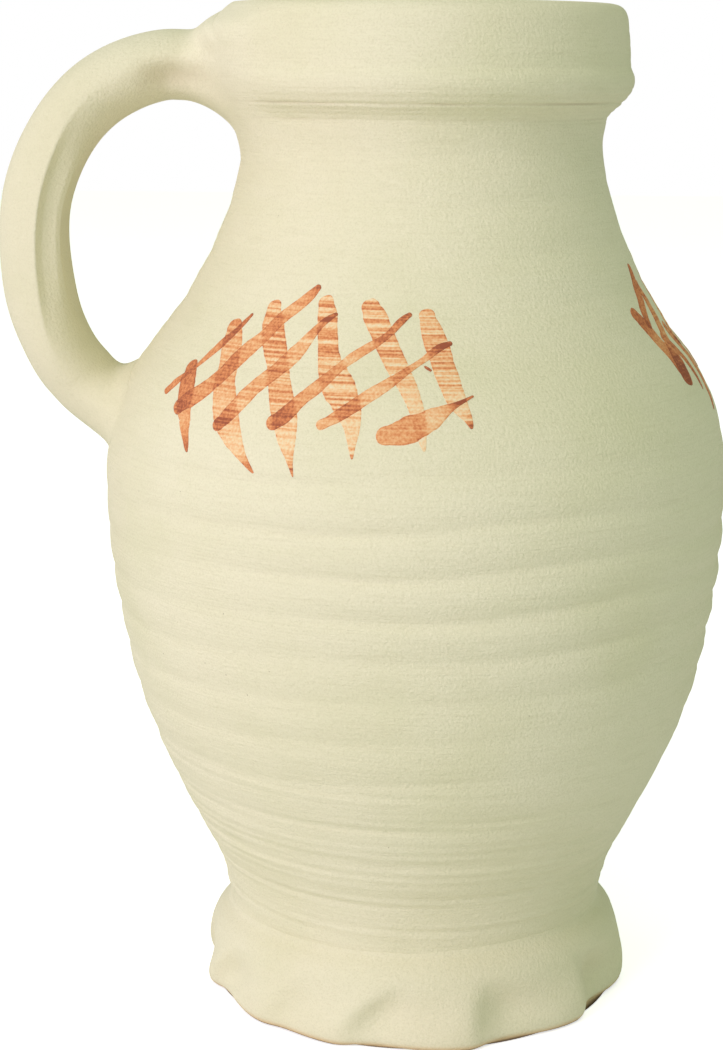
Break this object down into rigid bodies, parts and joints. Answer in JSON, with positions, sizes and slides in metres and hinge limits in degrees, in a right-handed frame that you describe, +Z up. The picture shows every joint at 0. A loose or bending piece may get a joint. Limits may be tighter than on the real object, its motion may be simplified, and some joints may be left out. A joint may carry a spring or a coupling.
{
  "type": "ceramic pitcher",
  "caption": "Wheel-thrown ceramic jug with a collar rim, a strap handle, a thumbed foot and a painted lattice on the shoulder.",
  "frame": {"origin": "middle of the flat underside, on the axis that the jug was thrown on", "axes": "+Z up along the throwing axis, the handle on the -X side, the front painted panel faces -Y"},
  "size_m": [0.1613, 0.1372, 0.22],
  "materials": {
    "fired_clay": "unglazed fired clay, matt, with fine turning lines",
    "foot_clay": "unglazed fired clay, matt, toasted along the lower edge",
    "handle_clay": "unglazed fired clay, matt, smoothed by wet fingers",
    "iron_slip": "brushed iron-red slip, matt, streaked and darker where strokes cross"
  },
  "bodies": {
    "root": {"thrown_body": "fired_clay", "rim_collar": "fired_clay", "foot_frill": "foot_clay", "strap_handle": "handle_clay", "upper_wad": "handle_clay", "lower_wad": "handle_clay", "front_uprights": "iron_slip", "front_diagonals": "iron_slip", "side_uprights": "iron_slip", "side_diagonals": "iron_slip", "back_uprights": "iron_slip", "back_diagonals": "iron_slip"}
  },
  "joints": []
}
